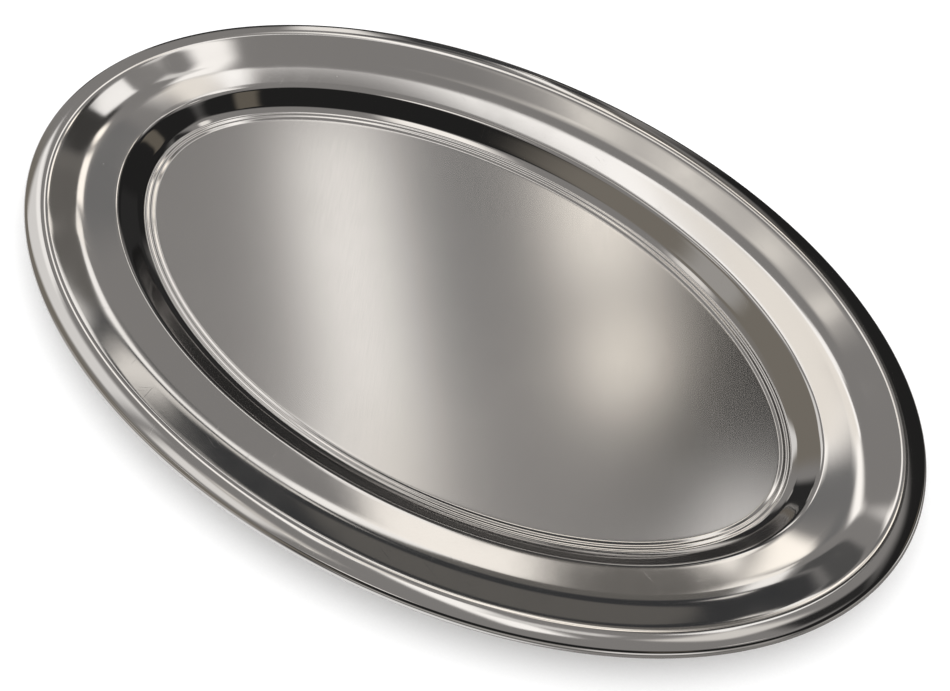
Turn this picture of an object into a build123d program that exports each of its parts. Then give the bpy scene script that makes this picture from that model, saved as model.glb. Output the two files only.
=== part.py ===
from build123d import *
import math
import os

os.makedirs("parts", exist_ok=True)

# Oval serving tray, pressed from one sheet of stainless steel, with a rolled and wired rim.
# Millimetres. The origin is the centre of the flat underside. +X runs along the length,
# +Y across the width and +Z up, so the tray stands on the plane z = 0.

# ---- driving dimensions ----
LENGTH = 450.0            # over the rolled rim, along X
WIDTH = 302.4             # over the rolled rim, along Y
HEIGHT = 18.4             # underside of the well to the crest of the rim
SHEET = 0.8               # sheet thickness

RIM_TO_WELL = 58.0        # plan distance from the outside of the rim in to the edge of the well
FOOT_STEP_RUN = 1.6       # first low step round the well
FOOT_STEP_RISE = 0.44
FOOT_LEDGE_RUN = 1.2      # level ledge between the two steps
STEP_RUN = 1.2            # second low step
STEP_RISE = 0.33
LEDGE_RUN = 1.1           # level ledge between the second step and the wall
LOWER_WALL_RUN = 2.9      # foot of the wall of the well
LOWER_WALL_RISE = 1.55
WALL_RUN = 7.8            # steep wall of the well
WALL_RISE = 6.68
FLANGE_INNER_RUN = 17.0   # inner slope of the broad flange; the outer slope runs on to the crest
FLANGE_INNER_RISE = 3.3
CREST_TO_EDGE = 9.9       # plan distance from the crest bend out to the outside of the rim
CREST_FLAT = 2.0          # from the crest bend out to where the top of the roll starts to fall

STEP_RADIUS = 3.0         # the four bends of the two low steps
WALL_FOOT_RADIUS = 2.0    # the other bends of the upper face, from the well outwards
WALL_RADIUS = 8.0
SHOULDER_RADIUS = 6.0
FLANGE_RADIUS = 52.0
CREST_RADIUS = 11.0

ROLL_TOP_RADIUS = 32.0    # gentle fall of the rim's top, from the crest out to the roll
ROLL_RADIUS = 2.4         # outside of the roll at the rim's edge
ROLL_END_ANGLE = 212.0    # the roll ends here, degrees clockwise from straight up
LIP_LENGTH = 5.0          # straight lip that runs back in under the rim
WIRE_CLEARANCE = 0.05     # radial room between the wire and the rolled sheet

WELL_OVERLAP = 4.0        # how far the swept section reaches in over the flat well
FLOOR_LAP = 1.5           # how far the flat well laps over that inner end of the section

# ---- derived places ----
roll_path_a = LENGTH / 2 - ROLL_RADIUS
roll_path_b = WIDTH / 2 - ROLL_RADIUS
well_edge_x = LENGTH / 2 - RIM_TO_WELL
crest_x = LENGTH / 2 - CREST_TO_EDGE
fall_start = (crest_x + CREST_FLAT, HEIGHT)
fall_centre_z = HEIGHT - ROLL_TOP_RADIUS
# the fall's arc holds the roll's circle inside it, touching it at the angle fall_angle
centre_distance = ROLL_TOP_RADIUS - ROLL_RADIUS
fall_angle = math.degrees(math.asin((roll_path_a - fall_start[0]) / centre_distance))
roll_z = fall_centre_z + centre_distance * math.cos(math.radians(fall_angle))
wire_radius = ROLL_RADIUS - SHEET - WIRE_CLEARANCE


def roll_point(angle):
    """A point on the outside of the roll, at an angle clockwise from straight up."""
    turn = math.radians(angle)
    return (roll_path_a + ROLL_RADIUS * math.sin(turn), roll_z + ROLL_RADIUS * math.cos(turn))


def fall_point(angle):
    """A point on the falling top of the rim, at an angle clockwise from straight up."""
    turn = math.radians(angle)
    return (
        fall_start[0] + ROLL_TOP_RADIUS * math.sin(turn),
        fall_centre_z + ROLL_TOP_RADIUS * math.cos(turn),
    )


def section_corners():
    """Corners of the upper face in the XZ plane, from inside the well out to the start of the rim's fall."""
    moves = [
        (WELL_OVERLAP, 0),
        (FOOT_STEP_RUN, FOOT_STEP_RISE),
        (FOOT_LEDGE_RUN, 0),
        (STEP_RUN, STEP_RISE),
        (LEDGE_RUN, 0),
        (LOWER_WALL_RUN, LOWER_WALL_RISE),
        (WALL_RUN, WALL_RISE),
        (FLANGE_INNER_RUN, FLANGE_INNER_RISE),
    ]
    points = [(well_edge_x - WELL_OVERLAP, SHEET)]
    for run, rise in moves:
        x, z = points[-1]
        points.append((x + run, z + rise))
    return points + [(crest_x, HEIGHT), fall_start]


# the lip leaves the roll along its tangent
lip_direction = math.radians(ROLL_END_ANGLE)
roll_end = roll_point(ROLL_END_ANGLE)
lip_end = (
    roll_end[0] + LIP_LENGTH * math.cos(lip_direction),
    roll_end[1] - LIP_LENGTH * math.sin(lip_direction),
)

# ---- paths in plan ----
bend_radii = [
    STEP_RADIUS,
    STEP_RADIUS,
    STEP_RADIUS,
    STEP_RADIUS,
    WALL_FOOT_RADIUS,
    WALL_RADIUS,
    SHOULDER_RADIUS,
    FLANGE_RADIUS,
    CREST_RADIUS,
]
corners = section_corners()

with BuildSketch() as rim_outline:
    Ellipse(roll_path_a, roll_path_b)
rim_path = rim_outline.sketch.face().outer_wire()

# ---- tray sheet: well, two low steps, wall, flange and rolled rim ----
with BuildPart() as tray_sheet:
    with BuildSketch(Plane.XZ) as section:
        with BuildLine() as upper_face:
            Polyline(*corners)
            for corner, radius in zip(corners[1:-1], bend_radii):
                fillet(upper_face.vertices().sort_by_distance(corner)[0], radius)
            ThreePointArc(fall_start, fall_point(fall_angle / 2), roll_point(fall_angle))
            ThreePointArc(roll_point(fall_angle), roll_point(90), roll_end)
            Line(roll_end, lip_end)
            offset(amount=SHEET, side=Side.RIGHT)
        make_face()
    sweep(path=rim_path)
    with BuildSketch() as well_floor:
        Ellipse(roll_path_a, roll_path_b)
        offset(amount=corners[0][0] + FLOOR_LAP - roll_path_a)
    extrude(amount=SHEET)
tray_sheet.part.label = "tray_sheet"

# ---- rim wire: the ring that the edge is rolled round ----
with BuildPart() as rim_wire:
    with BuildSketch(Plane.XZ) as wire_section:
        with Locations((roll_path_a, roll_z)):
            Circle(wire_radius)
    sweep(path=rim_path)
rim_wire.part.label = "rim_wire"

for piece in (tray_sheet, rim_wire):
    export_step(piece.part, f"parts/{piece.part.label}.step")
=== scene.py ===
"""Looks of the oval serving tray: polished pressed steel with a satin well and a rolled, wired rim."""
import math

import bpy
from mathutils import Matrix, Vector


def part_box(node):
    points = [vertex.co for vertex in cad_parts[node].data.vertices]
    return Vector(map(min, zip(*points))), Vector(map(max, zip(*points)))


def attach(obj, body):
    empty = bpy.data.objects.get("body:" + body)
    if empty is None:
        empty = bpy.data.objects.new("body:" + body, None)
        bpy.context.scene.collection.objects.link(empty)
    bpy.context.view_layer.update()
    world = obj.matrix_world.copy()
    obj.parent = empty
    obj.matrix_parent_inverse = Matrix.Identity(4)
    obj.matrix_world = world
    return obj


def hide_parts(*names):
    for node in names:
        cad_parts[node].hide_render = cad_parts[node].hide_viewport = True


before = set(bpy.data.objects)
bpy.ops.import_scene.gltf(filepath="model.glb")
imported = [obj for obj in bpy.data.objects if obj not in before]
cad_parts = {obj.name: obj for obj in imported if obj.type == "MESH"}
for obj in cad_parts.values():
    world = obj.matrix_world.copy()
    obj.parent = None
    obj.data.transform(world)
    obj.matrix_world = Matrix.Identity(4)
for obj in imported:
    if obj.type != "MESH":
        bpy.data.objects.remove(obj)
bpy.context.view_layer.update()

MM = 0.001

# ---- section of the pressed sheet, the same as the CAD's, in metres ----
SHEET = 0.8 * MM
RIM_TO_WELL = 58.0 * MM
CREST_TO_EDGE = 9.9 * MM
CREST_FLAT = 2.0 * MM
ROLL_TOP_RADIUS = 32.0 * MM
ROLL_RADIUS = 2.4 * MM
ROLL_END_ANGLE = math.radians(212)
LIP_LENGTH = 5.0 * MM
WIRE_CLEARANCE = 0.05 * MM
WELL_OVERLAP = 4.0 * MM
SECTION_MOVES = [           # run outwards and rise of each stretch of the upper face
    (WELL_OVERLAP, 0.0),
    (1.6 * MM, 0.44 * MM),  # first low step
    (1.2 * MM, 0.0),        # level ledge between the steps
    (1.2 * MM, 0.33 * MM),  # second low step
    (1.1 * MM, 0.0),        # level ledge
    (2.9 * MM, 1.55 * MM),  # foot of the wall
    (7.8 * MM, 6.68 * MM),  # wall of the well
    (17.0 * MM, 3.3 * MM),  # inner slope of the flange
]
STEP_RADIUS = 3.0 * MM      # the four bends of the two low steps
WALL_FOOT_RADIUS = 2.0 * MM
WALL_RADIUS = 8.0 * MM
SHOULDER_RADIUS = 6.0 * MM
FLANGE_RADIUS = 52.0 * MM
CREST_RADIUS = 11.0 * MM
BEND_RADII = [STEP_RADIUS] * 4 + [WALL_FOOT_RADIUS, WALL_RADIUS, SHOULDER_RADIUS, FLANGE_RADIUS, CREST_RADIUS]

# ---- places taken from the frame; "out" is measured outwards from the roll's centre line ----
tray_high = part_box("tray_sheet")[1]
PATH_A = tray_high.x - ROLL_RADIUS
PATH_B = tray_high.y - ROLL_RADIUS
CREST_Z = tray_high.z
WELL_EDGE = RIM_TO_WELL - ROLL_RADIUS   # distance from the roll's centre line in to the well's edge
CREST_OUT = ROLL_RADIUS - CREST_TO_EDGE
FALL_OUT = CREST_OUT + CREST_FLAT
FALL_ANGLE = math.asin(-FALL_OUT / (ROLL_TOP_RADIUS - ROLL_RADIUS))
ROLL_Z = CREST_Z - ROLL_TOP_RADIUS + (ROLL_TOP_RADIUS - ROLL_RADIUS) * math.cos(FALL_ANGLE)

AROUND = 840                # quads round the oval
MAX_TURN = math.radians(3.5)  # largest bend between two rows of quads
MIN_BEND_STEPS = 4          # rows of quads in the gentlest bend
MAX_STEP = 1.6 * MM         # longest straight quad along the section
WELL_RINGS = 14
WIRE_SIDES = 24
SATIN_EDGE = (-0.9 * MM, 0.3 * MM)  # the polish changes here, measured out from the well's edge
UNDERSIDE_POLISH = 0.7


def arc_between(before, corner, after, radius):
    """Points of the rounded corner, tangent to both straights."""
    to_before = (before - corner).normalized()
    to_after = (after - corner).normalized()
    half = to_before.angle(to_after) / 2
    centre = corner + (to_before + to_after).normalized() * (radius / math.sin(half))
    start = corner + to_before * (radius / math.tan(half))
    end = corner + to_after * (radius / math.tan(half))
    turn = math.pi - 2 * half
    steps = max(MIN_BEND_STEPS, math.ceil(turn / MAX_TURN))
    arm_start, arm_end = start - centre, end - centre
    points = []
    for i in range(steps + 1):
        share = i / steps
        weight_start = math.sin((1 - share) * turn) / math.sin(turn)
        weight_end = math.sin(share * turn) / math.sin(turn)
        points.append(centre + arm_start * weight_start + arm_end * weight_end)
    return points


def arc_points(centre, radius, start, end):
    """Points of an arc between two angles, both clockwise from straight up; the first is left out."""
    steps = math.ceil((end - start) / MAX_TURN)
    angles = [start + (end - start) * i / steps for i in range(1, steps + 1)]
    return [centre + Vector((math.sin(angle), math.cos(angle))) * radius for angle in angles]


def upper_face():
    """The sheet's upper face as (out, height), from the well to the end of the lip inside the roll."""
    corners = [Vector((-WELL_EDGE - WELL_OVERLAP, SHEET))]
    for run, rise in SECTION_MOVES:
        corners.append(corners[-1] + Vector((run, rise)))
    corners += [Vector((CREST_OUT, CREST_Z)), Vector((FALL_OUT, CREST_Z))]

    points = [corners[0]]
    for i, radius in enumerate(BEND_RADII, start=1):
        points += arc_between(corners[i - 1], corners[i], corners[i + 1], radius)
    points.append(corners[-1])
    points += arc_points(corners[-1] - Vector((0, ROLL_TOP_RADIUS)), ROLL_TOP_RADIUS, 0, FALL_ANGLE)
    points += arc_points(Vector((0, ROLL_Z)), ROLL_RADIUS, FALL_ANGLE, ROLL_END_ANGLE)
    lip = Vector((math.cos(ROLL_END_ANGLE), -math.sin(ROLL_END_ANGLE))) * LIP_LENGTH
    points.append(points[-1] + lip)
    return points


def refined(points):
    """The same line with long straights cut into short ones."""
    fine = [points[0]]
    for point in points[1:]:
        span = point - fine[-1]
        steps = max(1, math.ceil(span.length / MAX_STEP))
        start = fine[-1]
        fine += [start + span * (i / steps) for i in range(1, steps + 1)]
    return fine


def offset_below(points, distance):
    """The line moved sideways by a distance, to the right of its direction."""
    moved = []
    for i, point in enumerate(points):
        ahead = points[min(i + 1, len(points) - 1)] - point
        behind = point - points[max(i - 1, 0)]
        if ahead.length > 0:
            ahead.normalize()
        if behind.length > 0:
            behind.normalize()
        along = (ahead + behind).normalized()
        moved.append(point + Vector((along.y, -along.x)) * distance)
    return moved


def ring(out, height):
    """Points round the oval, at a distance out from the roll's centre line."""
    points = []
    for i in range(AROUND):
        angle = 2 * math.pi * i / AROUND
        x, y = PATH_A * math.cos(angle), PATH_B * math.sin(angle)
        normal = Vector((math.cos(angle) / PATH_A, math.sin(angle) / PATH_B)).normalized()
        points.append((x + normal.x * out, y + normal.y * out, height))
    return points


# ---- meshes ----
def strip_faces(first, second):
    """Quads between two rings, facing up when the second ring is the outer one."""
    faces = []
    for i in range(AROUND):
        j = (i + 1) % AROUND
        faces.append((first + i, second + i, second + j, first + j))
    return faces


class RingMesh:
    """A surface laid out as rings round the oval, with a polish value for every ring."""

    def __init__(self):
        self.points = []
        self.faces = []
        self.polish = []
        self.sharp_rings = []

    def add_ring(self, points, polish):
        start = len(self.points)
        self.points += points
        self.polish += [polish] * len(points)
        return start

    def add_section(self, section, polish_of):
        return [self.add_ring(ring(p.x, p.y), polish_of(p)) for p in section]

    def join(self, starts):
        for first, second in zip(starts, starts[1:]):
            self.faces += strip_faces(first, second)

    def add_floor(self, rim_points, height, polish, rim_start, faces_up):
        """A flat oval floor of rings that shrink towards the middle."""
        starts = [rim_start]
        for k in range(1, WELL_RINGS):
            scale = 1 - k / WELL_RINGS
            scaled = [(x * scale, y * scale, height) for x, y, _ in rim_points]
            starts.append(self.add_ring(scaled, polish))
        if faces_up:
            self.join(starts[::-1])
        else:
            self.join(starts)
        centre = self.add_ring([(0, 0, height)], polish)
        for i in range(AROUND):
            j = (i + 1) % AROUND
            edge = (starts[-1] + i, starts[-1] + j) if faces_up else (starts[-1] + j, starts[-1] + i)
            self.faces.append((edge[0], edge[1], centre))

    def on_sharp_ring(self, edge):
        a, b = edge.vertices
        return any(start <= a < start + AROUND and start <= b < start + AROUND for start in self.sharp_rings)

    def build(self, name):
        mesh = bpy.data.meshes.new(name)
        mesh.from_pydata(self.points, [], self.faces)
        mesh.polygons.foreach_set("use_smooth", [True] * len(mesh.polygons))
        layer = mesh.attributes.new("polish", "FLOAT", "POINT")
        layer.data.foreach_set("value", self.polish)
        mesh.validate()
        mesh.update()
        if self.sharp_rings:
            sharp = mesh.attributes.new("sharp_edge", "BOOLEAN", "EDGE")
            sharp.data.foreach_set("value", [self.on_sharp_ring(edge) for edge in mesh.edges])
        piece = bpy.data.objects.new(name, mesh)
        bpy.context.scene.collection.objects.link(piece)
        return piece


def smooth_share(value, low, high):
    share = min(max((value - low) / (high - low), 0), 1)
    return share * share * (3 - 2 * share)


def upper_polish(point):
    """0 on the satin well, 1 on the mirror-polished steps, wall, flange and rim."""
    return smooth_share(point.x + WELL_EDGE, SATIN_EDGE[0], SATIN_EDGE[1])


def build_sheet():
    """The pressed sheet as one closed skin: upper face, rolled end, lower face and the floor's two sides."""
    upper = refined(upper_face())
    lower = offset_below(upper, SHEET)
    skin = RingMesh()
    upper_starts = skin.add_section(upper, upper_polish)
    skin.join(upper_starts)
    lower_starts = skin.add_section(lower[::-1], lambda point: UNDERSIDE_POLISH)
    skin.join([upper_starts[-1]] + lower_starts)
    skin.sharp_rings = [upper_starts[-1], lower_starts[0]]
    rim = ring(upper[0].x, upper[0].y)
    skin.add_floor(rim, upper[0].y, 0.0, upper_starts[0], True)
    skin.add_floor(rim, lower[0].y, UNDERSIDE_POLISH, lower_starts[-1], False)
    return skin.build("pressed_sheet")


def build_wire():
    """The round wire that the rim is rolled over."""
    radius = ROLL_RADIUS - SHEET - WIRE_CLEARANCE
    skin = RingMesh()
    starts = []
    for k in range(WIRE_SIDES):
        angle = -2 * math.pi * k / WIRE_SIDES
        starts.append(skin.add_ring(ring(radius * math.cos(angle), ROLL_Z + radius * math.sin(angle)), 1.0))
    skin.join(starts + [starts[0]])
    return skin.build("wire_core")


# ---- node helpers ----
class Graph:
    """Short spellings for building a node tree."""

    def __init__(self, tree):
        self.tree = tree
        tree.nodes.clear()

    def feed(self, socket, value):
        if isinstance(value, bpy.types.NodeSocket):
            self.tree.links.new(value, socket)
        elif value is not None:
            socket.default_value = value

    def add(self, kind, inputs=None, **settings):
        made = self.tree.nodes.new(kind)
        for name, value in settings.items():
            setattr(made, name, value)
        for name, value in (inputs or {}).items():
            self.feed(made.inputs[name], value)
        return made

    def math(self, operation, a, b=None):
        made = self.add("ShaderNodeMath", operation=operation)
        for socket, value in zip(made.inputs, (a, b)):
            self.feed(socket, value)
        return made.outputs[0]

    def dot(self, a, b):
        made = self.add("ShaderNodeVectorMath", {0: a, 1: b}, operation="DOT_PRODUCT")
        return made.outputs["Value"]

    def stretch(self, vector, scale, turn=0.0):
        """The vector turned about Z, then scaled along each axis."""
        made = self.add("ShaderNodeMapping", {"Vector": vector}, vector_type="POINT")
        made.inputs["Rotation"].default_value = (0, 0, turn)
        scaled = self.add("ShaderNodeVectorMath", {0: made.outputs[0], 1: scale}, operation="MULTIPLY")
        return scaled.outputs[0]

    def noise(self, vector, scale, detail=2.0, roughness=0.5):
        made = self.add("ShaderNodeTexNoise", {"Vector": vector, "Scale": scale, "Detail": detail,
                                               "Roughness": roughness})
        return made.outputs["Fac"]

    def ramp(self, value, low, high, to_low=0.0, to_high=1.0):
        made = self.add("ShaderNodeMapRange", {"Value": value, "From Min": low, "From Max": high,
                                               "To Min": to_low, "To Max": to_high})
        made.interpolation_type = "SMOOTHSTEP"
        return made.outputs[0]

    def mix(self, share, a, b):
        made = self.add("ShaderNodeMix", data_type="RGBA")
        self.feed(made.inputs[0], share)
        self.feed(made.inputs[6], a)
        self.feed(made.inputs[7], b)
        return made.outputs[2]

    def blend(self, share, a, b):
        made = self.add("ShaderNodeMix", data_type="FLOAT")
        self.feed(made.inputs[0], share)
        self.feed(made.inputs[2], a)
        self.feed(made.inputs[3], b)
        return made.outputs[0]

    def bump(self, height, distance, normal=None):
        made = self.add("ShaderNodeBump", {"Strength": 1.0, "Distance": distance, "Height": height})
        if normal is not None:
            self.feed(made.inputs["Normal"], normal)
        return made.outputs["Normal"]


# ---- stainless steel; the scales are per metre ----
NOISE_SPAN = (0.3, 0.7)     # most of a noise texture's values lie between these
MIRROR_COLOUR = (0.678, 0.66, 0.645, 1.0)
SATIN_COLOUR = (0.674, 0.657, 0.643, 1.0)
DRIFT_COLOUR = (0.56, 0.545, 0.53, 1.0)
DRIFT_SCALE = 9.0
DRIFT_SHARE = 0.05
MIRROR_ROUGHNESS = 0.05
SATIN_ROUGHNESS = 0.15
SMUDGE_SCALE = 26.0
SMUDGE_SPAN = (0.45, 0.75)
SMUDGE_ON_MIRROR = 0.03     # roughness that a smudge adds
SMUDGE_ON_SATIN = 0.008
WIPE_STRETCH = (6, 40, 6)   # wiping marks are long one way
WIPE_SPAN = (0.4, 0.8)
WIPE_ROUGHNESS = 0.015
WAVE_SIZE = 70 * MM         # slow waves left by pressing the sheet
WAVE_DEPTH = 0.035 * MM
PEEL_SIZE = 2.5 * MM        # faint orange peel of the polished sheet
PEEL_DEPTH = 0.0006 * MM
GRAIN_SIZE = 0.5 * MM       # grain of the satin well
GRAIN_DEPTH = 0.0009 * MM
STREAK_LENGTH = 18 * MM
STREAK_WIDTH = 0.6 * MM
STREAK_ROUGHNESS = 0.006
STREAK_RELIEF = 0.12        # share of the streaks in the grain's relief
SCRATCH_LENGTH = 16 * MM
SCRATCH_WIDTH = 0.25 * MM
SCRATCH_DEPTH = 0.0015 * MM
SCRATCH_ROUGHNESS = 0.08
SCRATCH_CUT = (0.80, 0.86)  # only the top of the noise is a hairline
SCRATCH_PATCH_SCALE = 22.0
SCRATCH_PATCH_CUT = (0.58, 0.66)    # hairlines show only inside some patches
SCRATCH_TURNS = (0.35, 1.25, 2.3)   # radians, for the three sets of hairlines
SPECK_SPACING = 30 * MM
SPECK_RADIUS = 0.012        # share of the spacing
SPECK_CORE = 0.6            # share of the radius that is fully a speck
SPECK_ROUGHNESS = 0.3
POLISH_TURN = math.radians(57)      # turns the satin streaks and the wiping marks


def scratch_mask(graph, position):
    """Sparse hairlines in three directions, 1 on a scratch and 0 elsewhere."""
    mask = 0.0
    for turn in SCRATCH_TURNS:
        lines = graph.stretch(position, (1 / SCRATCH_LENGTH, 1 / SCRATCH_WIDTH, 1 / SCRATCH_LENGTH), turn)
        hair = graph.ramp(graph.noise(lines, 1.0, detail=0.0), *SCRATCH_CUT)
        area = graph.noise(graph.stretch(position, (1, 1, 1), turn), SCRATCH_PATCH_SCALE, detail=1.0)
        patch = graph.ramp(area, *SCRATCH_PATCH_CUT)
        mask = graph.math("MAXIMUM", mask, graph.math("MULTIPLY", hair, patch))
    return mask


def steel_material():
    """Stainless steel that runs from satin, where the mesh's polish is 0, to mirror, where it is 1."""
    material = bpy.data.materials.new("pressed_stainless")
    material.use_nodes = True
    graph = Graph(material.node_tree)
    position = graph.add("ShaderNodeTexCoord").outputs["Object"]
    polish = graph.add("ShaderNodeAttribute", attribute_name="polish").outputs["Fac"]
    satin = graph.math("SUBTRACT", 1.0, polish)

    # colour: a faint drift over the sheet, the satin a touch darker
    drift = graph.noise(position, DRIFT_SCALE, detail=3.0)
    colour = graph.mix(polish, SATIN_COLOUR, MIRROR_COLOUR)
    colour = graph.mix(graph.ramp(drift, *NOISE_SPAN, 0.0, DRIFT_SHARE), colour, DRIFT_COLOUR)

    # roughness: smudges, wiping marks, satin streaks and scratches
    smudge = graph.ramp(graph.noise(position, SMUDGE_SCALE, detail=4.0, roughness=0.6), *SMUDGE_SPAN)
    wiping = graph.noise(graph.stretch(position, WIPE_STRETCH, POLISH_TURN), 1.0, detail=3.0)
    wiped = graph.ramp(wiping, *WIPE_SPAN)
    mirror_roughness = graph.math("ADD", MIRROR_ROUGHNESS, graph.math("MULTIPLY", smudge, SMUDGE_ON_MIRROR))
    mirror_roughness = graph.math("ADD", mirror_roughness, graph.math("MULTIPLY", wiped, WIPE_ROUGHNESS))
    streak_stretch = (1 / STREAK_LENGTH, 1 / STREAK_WIDTH, 1 / STREAK_LENGTH)
    streak = graph.noise(graph.stretch(position, streak_stretch, POLISH_TURN), 1.0, detail=2.0)
    satin_roughness = graph.ramp(streak, *NOISE_SPAN, SATIN_ROUGHNESS - STREAK_ROUGHNESS,
                                 SATIN_ROUGHNESS + STREAK_ROUGHNESS)
    satin_roughness = graph.math("ADD", satin_roughness, graph.math("MULTIPLY", smudge, SMUDGE_ON_SATIN))
    scratches = graph.math("MULTIPLY", scratch_mask(graph, position), polish)
    roughness = graph.blend(polish, satin_roughness, mirror_roughness)
    roughness = graph.math("ADD", roughness, graph.math("MULTIPLY", scratches, SCRATCH_ROUGHNESS))

    # specks: tiny dull marks, far apart
    cells = graph.add("ShaderNodeTexVoronoi", {"Vector": position, "Scale": 1 / SPECK_SPACING,
                                               "Randomness": 1.0})
    speck = graph.ramp(cells.outputs["Distance"], SPECK_RADIUS, SPECK_RADIUS * SPECK_CORE)
    roughness = graph.math("ADD", roughness, graph.math("MULTIPLY", speck, SPECK_ROUGHNESS))

    # relief: press waves, orange peel, satin grain, scratches and specks
    waves = graph.noise(position, 1 / WAVE_SIZE, detail=1.0)
    normal = graph.bump(waves, WAVE_DEPTH)
    normal = graph.bump(graph.noise(position, 1 / PEEL_SIZE, detail=1.0), PEEL_DEPTH, normal)
    grain = graph.noise(position, 1 / GRAIN_SIZE, detail=2.0, roughness=0.6)
    grain = graph.math("ADD", grain, graph.math("MULTIPLY", streak, STREAK_RELIEF))
    normal = graph.bump(graph.math("MULTIPLY", grain, satin), GRAIN_DEPTH, normal)
    normal = graph.bump(graph.math("MULTIPLY", scratches, -1.0), SCRATCH_DEPTH, normal)
    normal = graph.bump(speck, SCRATCH_DEPTH, normal)

    steel = graph.add("ShaderNodeBsdfPrincipled", {"Base Color": colour, "Metallic": 1.0,
                                                   "Roughness": roughness, "Normal": normal})
    graph.add("ShaderNodeOutputMaterial", {"Surface": steel.outputs[0]})
    return material


# ---- drawn wire ----
WIRE_LINE_STRETCH = (60, 60, 4000)  # per metre; the lines are long in plan and fine in height
WIRE_LINE_DEPTH = 0.01 * MM
WIRE_DARK = (0.40, 0.39, 0.38, 1.0)
WIRE_LIGHT = (0.55, 0.54, 0.52, 1.0)
WIRE_ROUGHNESS = (0.28, 0.42)


def drawn_wire_material():
    """Drawn steel wire: fine lines along its length."""
    material = bpy.data.materials.new("drawn_wire")
    material.use_nodes = True
    graph = Graph(material.node_tree)
    position = graph.add("ShaderNodeTexCoord").outputs["Object"]
    lines = graph.noise(graph.stretch(position, WIRE_LINE_STRETCH), 1.0, detail=3.0)
    tone = graph.mix(graph.ramp(lines, *NOISE_SPAN), WIRE_DARK, WIRE_LIGHT)
    roughness = graph.ramp(lines, *NOISE_SPAN, *WIRE_ROUGHNESS)
    normal = graph.bump(lines, WIRE_LINE_DEPTH)
    steel = graph.add("ShaderNodeBsdfPrincipled", {"Base Color": tone, "Metallic": 1.0,
                                                   "Roughness": roughness, "Normal": normal})
    graph.add("ShaderNodeOutputMaterial", {"Surface": steel.outputs[0]})
    return material


# ---- the tray ----
sheet = build_sheet()
sheet.data.materials.append(steel_material())
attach(sheet, "root")
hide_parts("tray_sheet")

wire = build_wire()
wire.data.materials.append(drawn_wire_material())
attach(wire, "root")
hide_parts("rim_wire")

# ---- camera ----
CAMERA_TURN = math.radians(32.8)       # round from the front, towards the right end
CAMERA_ELEVATION = math.radians(50.4)
CAMERA_ROLL = math.radians(5.51)
CAMERA_TARGET = Vector((23.5, -11.6, 0.8)) * MM
CAMERA_DISTANCE = 599.7 * MM
CAMERA_LENS = 50.44         # millimetres, as the sensor's width
CAMERA_SENSOR = 36.0
CAMERA_CLIP = 10 * MM

camera_back = Vector((math.sin(CAMERA_TURN) * math.cos(CAMERA_ELEVATION),
                      -math.cos(CAMERA_TURN) * math.cos(CAMERA_ELEVATION),
                      math.sin(CAMERA_ELEVATION)))
level_right = Vector((math.cos(CAMERA_TURN), math.sin(CAMERA_TURN), 0))
level_up = camera_back.cross(level_right)
camera_right = level_right * math.cos(CAMERA_ROLL) + level_up * math.sin(CAMERA_ROLL)
camera_up = level_up * math.cos(CAMERA_ROLL) - level_right * math.sin(CAMERA_ROLL)

camera_data = bpy.data.cameras.new("camera")
camera_data.lens = CAMERA_LENS
camera_data.sensor_width = CAMERA_SENSOR
camera_data.clip_start = CAMERA_CLIP
camera = bpy.data.objects.new("camera", camera_data)
bpy.context.scene.collection.objects.link(camera)
turn = Matrix((camera_right, camera_up, camera_back)).transposed()
camera.matrix_world = Matrix.Translation(CAMERA_TARGET + camera_back * CAMERA_DISTANCE) @ turn.to_4x4()
bpy.context.scene.camera = camera

# ---- studio: soft cards all round, seen only in the steel ----
# Each card: what it is, azimuth to the left of the camera's view, elevation, half width, half height,
# tilt to the left, softness of the edge (all in degrees), shape, and light (r, g, b). A later card
# covers the earlier ones.
BARE_STUDIO = (0.283, 0.275, 0.269, 1.0)
WARM_RED = 0.03             # share of red that a light gains for each unit of warmth
WARM_BLUE = 0.045           # share of blue that it loses


def tint(light, warmth=1.0):
    """A light's colour from its strength; warmth 0 is neutral."""
    return (light * (1 + WARM_RED * warmth), light, light * (1 - WARM_BLUE * warmth))


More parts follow.
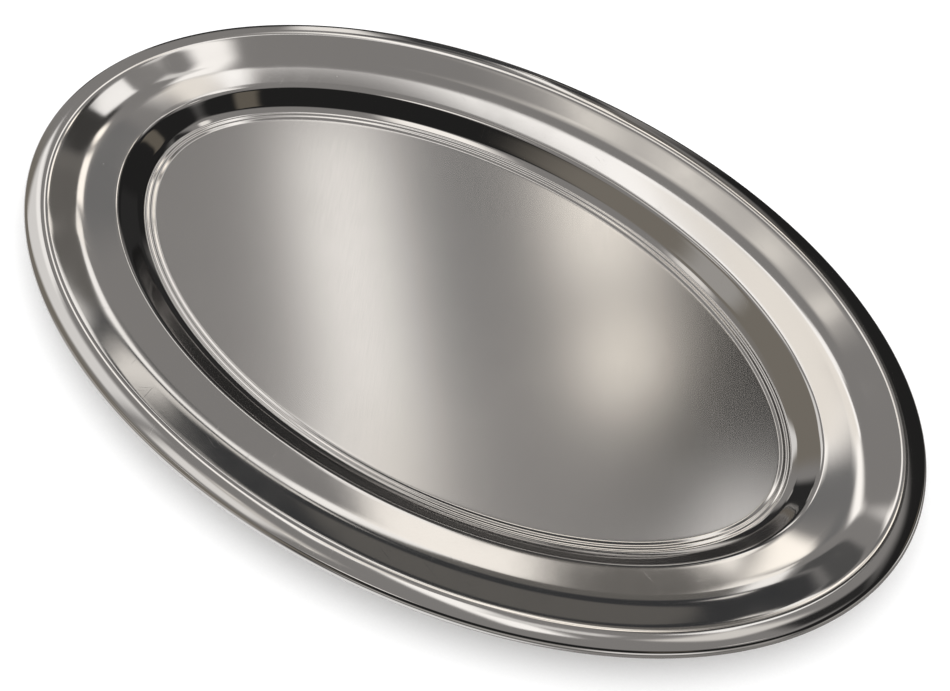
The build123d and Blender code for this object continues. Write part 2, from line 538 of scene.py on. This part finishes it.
STUDIO_CARDS = [
    ("dark wall right", -78, 22, 56, 35, 0, 4, "rect", tint(0.02, 0)),
    ("dark wall behind", 178, 34, 46, 42, 0, 4, "rect", tint(0.02, 0)),
    ("brown wall left", 86, 27, 42, 29, 0, 5, "rect", tint(0.21, 3)),
    ("room left", 106, 8, 22, 10, 0, 5, "rect", tint(0.5, 1.5)),
    ("room behind", 185, 17, 44, 16, 0, 6, "rect", tint(0.4)),
    ("window behind", 197, 19, 12, 10, 0, 5, "rect", tint(0.95, 0.4)),
    ("room right", -94, 3, 32, 11, 0, 6, "rect", tint(0.4)),
    ("window right", -80, 7, 10, 7, 0, 4, "rect", tint(0.9, 0.4)),
    ("pale floor left", 100, -48, 55, 30, 0, 10, "rect", tint(0.95, 0)),
    ("floor right", -75, -60, 60, 22, 0, 12, "rect", tint(0.25)),
    ("floor forward", 10, -46, 30, 18, 0, 6, "rect", tint(0.5)),
    ("dark ahead", 0, 0, 34, 21, 0, 2.5, "rect", tint(0.03, 0)),
    ("pale patch ahead", -1.5, 5.5, 5.5, 3.4, 12, 1.5, "rect", tint(0.68)),
    ("pale ground ahead", -6, -21, 6, 4, 0, 2.5, "rect", tint(0.38)),
    ("glint ahead", -9.5, -11, 1.6, 1.4, 0, 1, "oval", tint(0.5)),
    ("far pane on the left wall", 93, 41, 4, 5, 0, 2, "rect", tint(0.42)),
    ("brown patch behind", -149, 58, 4, 4, 0, 1.5, "rect", tint(0.14, 4)),
    ("brown patch right", -66, 35, 8, 4, -20, 1.5, "rect", tint(0.14, 4)),
    ("left window", 38.5, 46, 5.8, 9.5, 0, 1.8, "rect", tint(0.9, 0.4)),
    ("left window sill", 29.5, 42, 2.0, 5.0, 0, 1.2, "rect", tint(1.2, 0.4)),
    ("left window top", 43.5, 63, 4.2, 5, 0, 1.5, "rect", tint(0.95, 0.6)),
    ("left blind", 33, 65, 1.6, 5.2, 6, 1.5, "rect", tint(0.62, 1.2)),
    ("blind gap low", 31, 61.6, 0.8, 0.7, 0, 0.5, "oval", tint(0.92, 1.4)),
    ("blind gap middle", 33.2, 64.6, 0.8, 0.7, 0, 0.5, "oval", tint(0.9, 1.4)),
    ("blind gap high", 34.8, 67.3, 0.7, 0.6, 0, 0.5, "oval", tint(1.0, 1.4)),
    ("blind gap top", 35.8, 69.2, 0.7, 0.5, 0, 0.4, "oval", tint(1.0, 1.4)),
    ("lamp left", 75, 59.5, 2.4, 1.8, 0, 1, "oval", tint(1.0)),
    ("lamp high left", 107, 73, 6, 3.5, 0, 1.5, "oval", tint(1.3)),
    ("lamp high right", -78, 70, 2.5, 2.5, 0, 1, "oval", tint(1.1)),
    ("high right", -34, 65, 3.6, 4.0, 0, 1.4, "rect", tint(0.85)),
    ("dark high right", -55, 60, 4.5, 5.0, 0, 1.5, "rect", tint(0.03, 0)),
    ("dark right edge", -30, 38, 9.5, 12, 0, 1.8, "rect", tint(0.02, 0)),
    ("black right of window", -18.9, 48.8, 3.9, 7.2, -4, 1.5, "rect", tint(0.055, 1)),
    ("brown under the black", -13, 41.5, 3.2, 3.2, 0, 1, "rect", tint(0.17, 1.5)),
    ("brown ahead", -9, 36, 2.2, 6.5, -24, 0.8, "rect", tint(0.15, 1.5)),
    ("dark between windows", 1.2, 46.5, 1.9, 5.5, 0, 1.2, "rect", tint(0.21, 0)),
    ("strip low", 7.9, 48.8, 2.0, 8.4, -8, 1.4, "rect", tint(1.42, 0.8)),
    ("strip wide", 6.8, 57.2, 2.1, 3.6, -6, 1.0, "rect", tint(1.08, 1.6)),
    ("strip edge", 9.9, 57.4, 0.6, 4.0, -4, 0.4, "rect", tint(1.5, 0.3)),
    ("strip shoulder", 11, 59.2, 1.6, 1.3, 0, 0.7, "rect", tint(1.35, 0.4)),
    ("strip top", -1.0, 68.5, 2.2, 8.0, -18, 1.0, "rect", tint(1.35, 0.6)),
    ("window high", -10, 50, 2.0, 2.0, 0, 1.0, "oval", tint(1.6, 2.2)),
    ("window low", -6.6, 43.4, 2.1, 3.4, -22, 0.8, "rect", tint(1.45, 1.8)),
    ("window pane", -5.3, 37.6, 1.6, 1.6, 0, 0.4, "rect", tint(1.25, 1.4)),
    ("window foot", -3.6, 33.2, 1.3, 3.4, -8, 0.5, "rect", tint(1.25, 0.6)),
    ("streak right", -22.2, 57.6, 1.7, 4.2, -6, 0.5, "rect", tint(1.3, 0.4)),
    ("high crown", -9.5, 67, 3.2, 1.6, 0, 0.8, "rect", tint(0.85, 0.6)),
    ("dark forward low", -3, 25.5, 6, 4.6, 0, 0.8, "rect", tint(0.05, -1)),
    ("brown forward low", -6.7, 22.6, 1.2, 1.5, 0, 0.3, "rect", tint(0.14, 1.5)),
    ("charcoal ahead", 3.5, 33.2, 3.4, 2.4, 0, 0.6, "rect", tint(0.1, 0)),
    ("far window", 8.3, 26, 2.2, 6.5, 0, 1.0, "rect", tint(1.1, 0.8)),
    ("gap low", -4.4, 27.8, 0.6, 1.1, 30, 0.4, "rect", tint(1.0, 1.2)),
    ("far window left", 26, 16, 3, 3, 0, 1, "rect", tint(0.5, 0.8)),
]
WIDEST_HALF = 88            # degrees; the widest half that a flat card can have
LEAST_DEPTH = 0.02          # a direction almost square to the card's own never reaches it
FLOOR_LIGHT = 1.3           # the studio as the floor and the camera see it
FLOOR_SIZE = 6.0
FLOOR_GAP = 0.1 * MM        # keeps the floor clear of the tray's flat underside
PAPER_DARK = (0.985, 0.985, 0.985, 1.0)
PAPER_LIGHT = (1.0, 1.0, 1.0, 1.0)
PAPER_TOOTH_SCALE = 900.0   # per metre


def card_share(graph, direction, card):
    """1 where the direction hits the card, falling softly to 0 round it."""
    _, azimuth, elevation, half_width, half_height, tilt, softness, shape, _ = card
    heading = CAMERA_TURN + math.radians(90 + azimuth)
    rise = math.radians(elevation)
    centre = Vector((math.cos(rise) * math.cos(heading), math.cos(rise) * math.sin(heading), math.sin(rise)))
    left = Vector((-math.sin(heading), math.cos(heading), 0))
    up = centre.cross(left)
    lean = math.radians(tilt)
    across = left * math.cos(lean) - up * math.sin(lean)
    along = up * math.cos(lean) + left * math.sin(lean)
    depth = graph.dot(direction, centre)
    in_front = graph.math("GREATER_THAN", depth, LEAST_DEPTH)
    safe_depth = graph.math("MAXIMUM", depth, LEAST_DEPTH)
    u = graph.math("DIVIDE", graph.dot(direction, across), safe_depth)
    v = graph.math("DIVIDE", graph.dot(direction, along), safe_depth)
    if shape == "rect":
        share = in_front
        for offset, half in ((u, half_width), (v, half_height)):
            far = math.tan(math.radians(min(half + softness, WIDEST_HALF)))
            near = math.tan(math.radians(max(half - softness, 0)))
            share = graph.math("MULTIPLY", share, graph.ramp(graph.math("ABSOLUTE", offset), far, near))
        return share
    u = graph.math("DIVIDE", u, math.tan(math.radians(half_width)))
    v = graph.math("DIVIDE", v, math.tan(math.radians(half_height)))
    reach = graph.math("SQRT", graph.math("ADD", graph.math("MULTIPLY", u, u), graph.math("MULTIPLY", v, v)))
    edge = softness / min(half_width, half_height)
    return graph.math("MULTIPLY", in_front, graph.ramp(reach, 1 + edge, max(1 - edge, 0)))


def build_studio():
    world = bpy.data.worlds.new("studio")
    world.use_nodes = True
    graph = Graph(world.node_tree)
    direction = graph.add("ShaderNodeTexCoord").outputs["Generated"]
    light = BARE_STUDIO
    for card in STUDIO_CARDS:
        light = graph.mix(card_share(graph, direction, card), light, card[-1] + (1.0,))
    seen_in_steel = graph.add("ShaderNodeLightPath").outputs["Is Glossy Ray"]
    colour = graph.mix(seen_in_steel, (FLOOR_LIGHT, FLOOR_LIGHT, FLOOR_LIGHT, 1.0), light)
    background = graph.add("ShaderNodeBackground", {"Color": colour, "Strength": 1.0})
    graph.add("ShaderNodeOutputWorld", {"Surface": background.outputs[0]})
    world.cycles.sampling_method = "NONE"
    bpy.context.scene.world = world
    bpy.context.scene.view_settings.view_transform = "Standard"


def floor_material():
    """Seamless white paper with a very faint tooth."""
    material = bpy.data.materials.new("studio_paper")
    material.use_nodes = True
    graph = Graph(material.node_tree)
    position = graph.add("ShaderNodeTexCoord").outputs["Object"]
    tooth = graph.noise(position, PAPER_TOOTH_SCALE, detail=2.0)
    tone = graph.mix(graph.ramp(tooth, *NOISE_SPAN), PAPER_DARK, PAPER_LIGHT)
    paper = graph.add("ShaderNodeBsdfDiffuse", {"Color": tone})
    graph.add("ShaderNodeOutputMaterial", {"Surface": paper.outputs[0]})
    return material


def build_floor():
    half = FLOOR_SIZE / 2
    mesh = bpy.data.meshes.new("studio_floor")
    corners = [(-half, -half, 0), (half, -half, 0), (half, half, 0), (-half, half, 0)]
    mesh.from_pydata(corners, [], [(0, 1, 2, 3)])
    floor = bpy.data.objects.new("studio_floor", mesh)
    floor.location.z = -FLOOR_GAP
    bpy.context.scene.collection.objects.link(floor)
    mesh.materials.append(floor_material())
    floor.visible_glossy = False


build_studio()
build_floor()

# ---- a last update of the view layer ----
bpy.context.view_layer.update()
